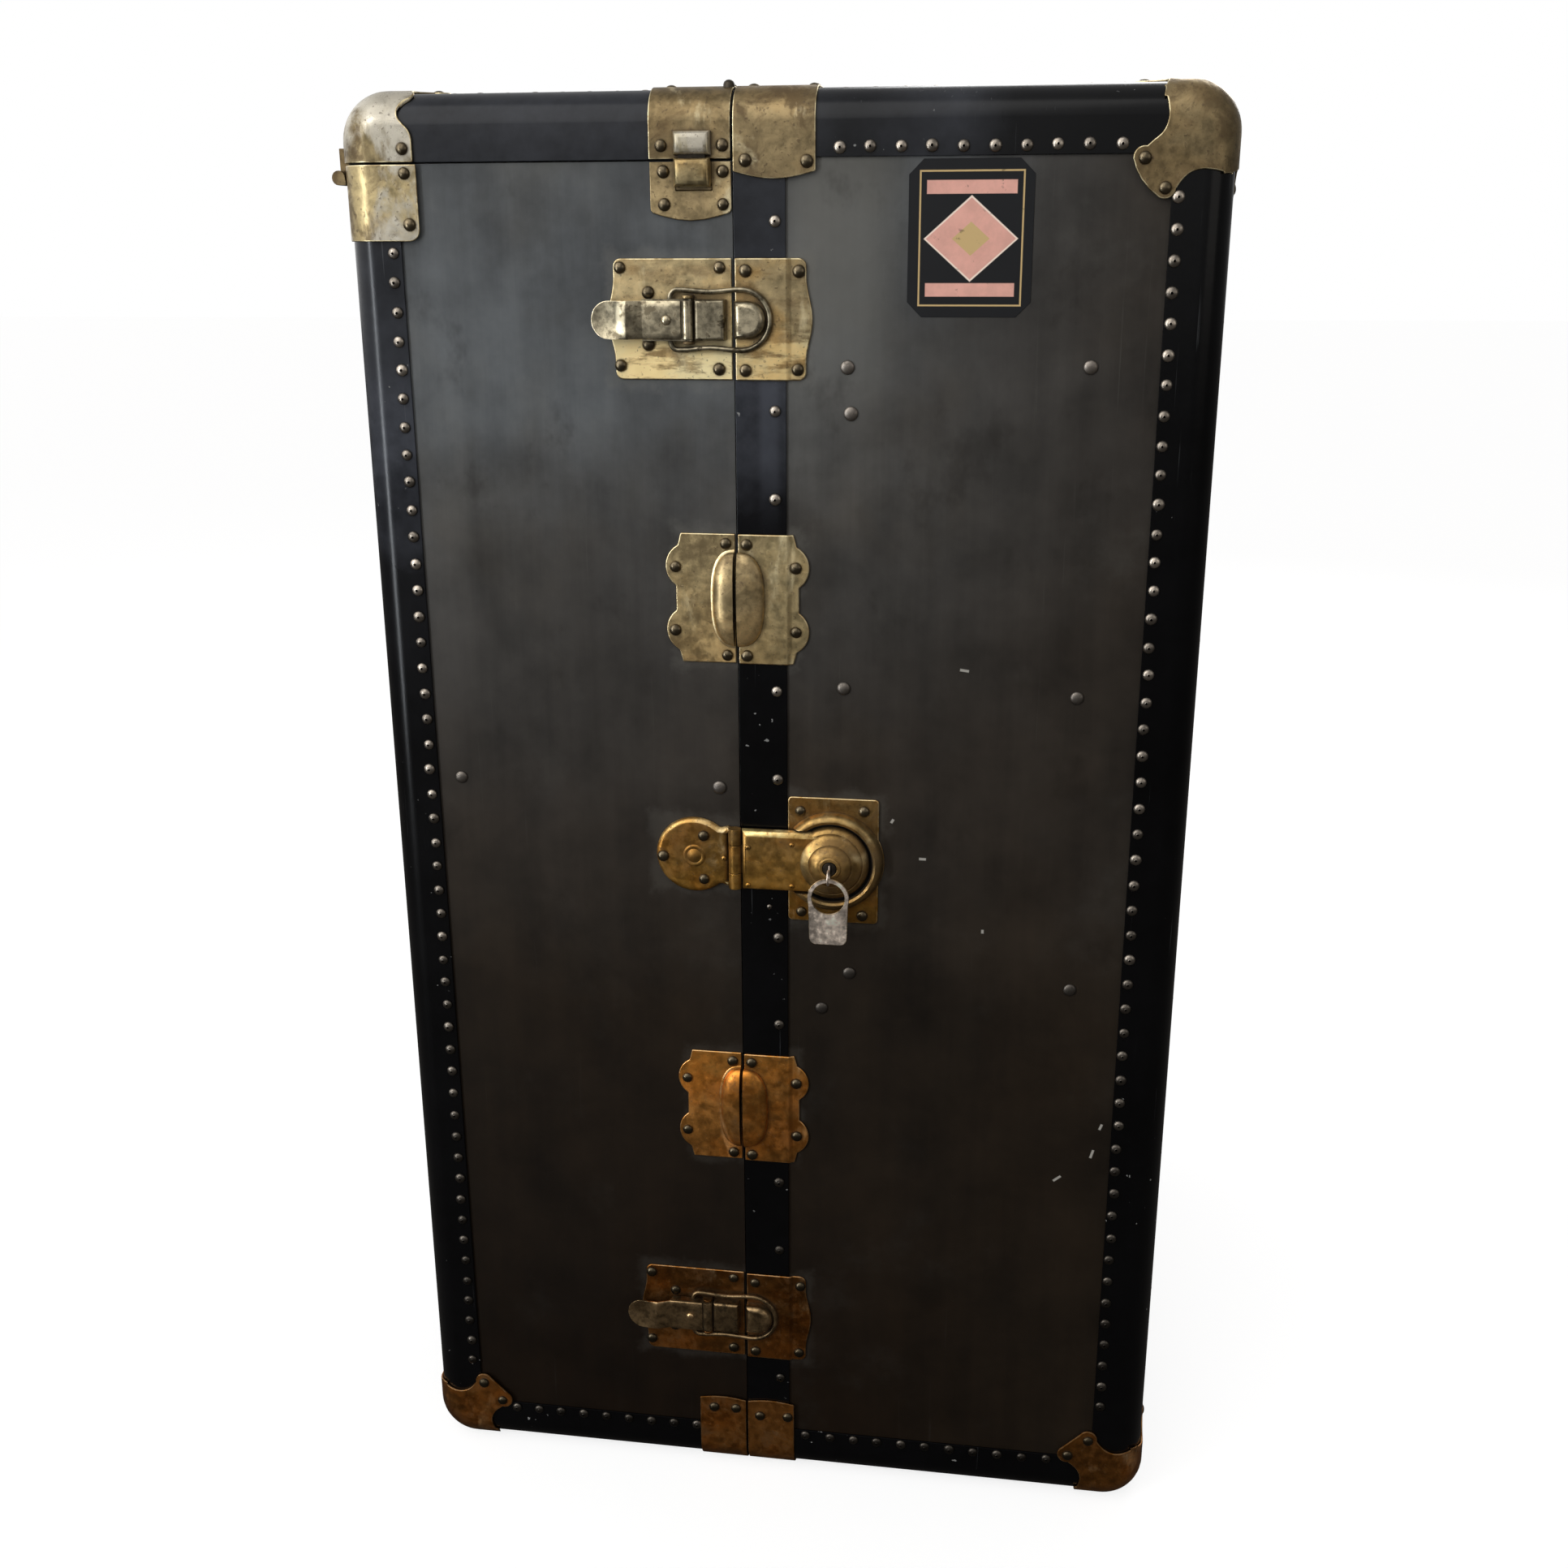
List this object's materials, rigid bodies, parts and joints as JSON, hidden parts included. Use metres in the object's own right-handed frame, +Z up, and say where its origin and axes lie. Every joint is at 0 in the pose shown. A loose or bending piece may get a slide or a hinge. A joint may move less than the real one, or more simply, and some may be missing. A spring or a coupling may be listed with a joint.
{
  "type": "wardrobe trunk",
  "caption": "Upright wardrobe trunk: a drawer half and a hanger half hinged at the back, hinged lid, draw latches, hasp lock with key, brass corners and side handles.",
  "frame": {"origin": "middle of the bounding box at the floor, under the standing trunk", "axes": "+Z up along the trunk's height, -Y out of the latched front, +X towards the drawer half"},
  "size_m": [0.594, 0.5837, 1.0242],
  "materials": {
    "panel": "plywood covered in semi-matte blue-grey vulcanised fibre, brown with age lower down",
    "binding": "black vulcanised fibre edging, glossy and lightly scratched",
    "brass": "aged brass plate, olive brown with bright worn edges",
    "nickel": "worn nickel plate on steel",
    "plywood": "thin lined plywood",
    "wood": "varnished hardwood",
    "leather": "dark brown rolled leather"
  },
  "bodies": {
    "drawer_half": {"right_shell": "panel", "right_binding": "binding", "closing_lip": "binding", "right_cap_top_front": "brass", "right_cap_top_back": "brass", "right_cap_bottom_front": "brass", "right_cap_bottom_back": "brass", "right_clamp_top": "brass", "right_clamp_bottom": "brass", "upper_keeper": "brass", "lower_keeper": "brass", "upper_dowel_socket": "brass", "lower_dowel_socket": "brass", "lock_plate": "brass", "upper_hinge_right": "brass", "lower_hinge_right": "brass", "right_handle_loop_front": "brass", "right_handle_loop_back": "brass", "drawer_rack": "plywood"},
    "hanger_half": {"left_shell": "panel", "left_binding": "binding", "left_cap_bottom_front": "brass", "left_cap_bottom_back": "brass", "left_collar_front": "brass", "left_collar_back": "brass", "lid_strike": "brass", "left_clamp_bottom": "brass", "upper_latch_base": "brass", "lower_latch_base": "brass", "upper_dowel_plate": "brass", "lower_dowel_plate": "brass", "hasp_base": "brass", "upper_hinge_left": "brass", "lower_hinge_left": "brass", "left_handle_loop_front": "brass", "left_handle_loop_back": "brass", "trolley_sleeve": "nickel"},
    "lid": {"lid_shell": "panel", "lid_binding": "binding", "lid_cap_front": "brass", "lid_cap_back": "brass", "lid_clamp": "brass"},
    "upper_lever": {"upper_latch_lever": "nickel"},
    "lower_lever": {"lower_latch_lever": "nickel"},
    "upper_bail": {"upper_latch_bail": "nickel"},
    "lower_bail": {"lower_latch_bail": "nickel"},
    "hasp": {"hasp_arm": "brass"},
    "lock": {"lock_cylinder": "nickel", "key": "nickel"},
    "fob": {"key_fob": "nickel"},
    "drawer_1": {"drawer_1": "wood"},
    "drawer_2": {"drawer_2": "wood"},
    "drawer_3": {"drawer_3": "wood"},
    "drawer_4": {"drawer_4": "wood"},
    "trolley": {"trolley_rod": "nickel"},
    "hanger_inner": {"hanger_inner": "wood"},
    "hanger_outer": {"hanger_outer": "wood"},
    "right_handle": {"right_handle": "leather"},
    "left_handle": {"left_handle": "leather"}
  },
  "joints": [
    {"name": "back_hinge", "type": "hinge", "parent": "drawer_half", "child": "hanger_half", "pos_m": [-0.025, 0.2873, 0.51], "axis": [0, 0, -1], "range_deg": [0, 180]},
    {"name": "lid_hinge", "type": "hinge", "parent": "hanger_half", "child": "lid", "pos_m": [-0.2873, 0.0093, 0.972], "axis": [0, -1, 0], "range_deg": [0, 105]},
    {"name": "upper_lever_hinge", "type": "hinge", "parent": "hanger_half", "child": "upper_lever", "pos_m": [-0.054, -0.2687, 0.8845], "axis": [0, 0, 1], "range_deg": [0, 110]},
    {"name": "upper_bail_hinge", "type": "hinge", "parent": "upper_lever", "child": "upper_bail", "pos_m": [-0.0655, -0.2671, 0.8845], "axis": [0, 0, 1], "range_deg": [-110, 0]},
    {"name": "lower_lever_hinge", "type": "hinge", "parent": "hanger_half", "child": "lower_lever", "pos_m": [-0.054, -0.2687, 0.143], "axis": [0, 0, 1], "range_deg": [0, 110]},
    {"name": "lower_bail_hinge", "type": "hinge", "parent": "lower_lever", "child": "lower_bail", "pos_m": [-0.0655, -0.2671, 0.143], "axis": [0, 0, 1], "range_deg": [-110, 0]},
    {"name": "hasp_hinge", "type": "hinge", "parent": "hanger_half", "child": "hasp", "pos_m": [-0.028, -0.2677, 0.5205], "axis": [0, 0, -1], "range_deg": [0, 130]},
    {"name": "lock_turn", "type": "hinge", "parent": "hasp", "child": "lock", "pos_m": [0.04, -0.2752, 0.5205], "axis": [0, 1, 0], "range_deg": [0, 90]},
    {"name": "fob_swing", "type": "hinge", "parent": "lock", "child": "fob", "pos_m": [0.04, -0.2862, 0.5165], "axis": [-1, 0, 0], "range_deg": [0, 75]},
    {"name": "drawer_1_slide", "type": "slide", "parent": "drawer_half", "child": "drawer_1", "axis": [-1, 0, 0], "range_m": [0, 0.2]},
    {"name": "drawer_2_slide", "type": "slide", "parent": "drawer_half", "child": "drawer_2", "axis": [-1, 0, 0], "range_m": [0, 0.2]},
    {"name": "drawer_3_slide", "type": "slide", "parent": "drawer_half", "child": "drawer_3", "axis": [-1, 0, 0], "range_m": [0, 0.2]},
    {"name": "drawer_4_slide", "type": "slide", "parent": "drawer_half", "child": "drawer_4", "axis": [-1, 0, 0], "range_m": [0, 0.2]},
    {"name": "trolley_slide", "type": "slide", "parent": "hanger_half", "child": "trolley", "axis": [1, 0, 0], "range_m": [0, 0.12]},
    {"name": "hanger_inner_slide", "type": "slide", "parent": "trolley", "child": "hanger_inner", "axis": [1, 0, 0], "range_m": [-0.008, 0.008]},
    {"name": "hanger_outer_slide", "type": "slide", "parent": "trolley", "child": "hanger_outer", "axis": [1, 0, 0], "range_m": [-0.008, 0.008]},
    {"name": "right_handle_swing", "type": "hinge", "parent": "drawer_half", "child": "right_handle", "pos_m": [0.289, 0.0093, 0.56], "axis": [0, -1, 0], "range_deg": [0, 150]},
    {"name": "left_handle_swing", "type": "hinge", "parent": "hanger_half", "child": "left_handle", "pos_m": [-0.289, 0.0093, 0.56], "axis": [0, 1, 0], "range_deg": [0, 150]}
  ],
  "couplings": [
    {"joint": "upper_bail_hinge", "follows": "upper_lever_hinge", "ratio": -1},
    {"joint": "lower_bail_hinge", "follows": "lower_lever_hinge", "ratio": -1}
  ]
}
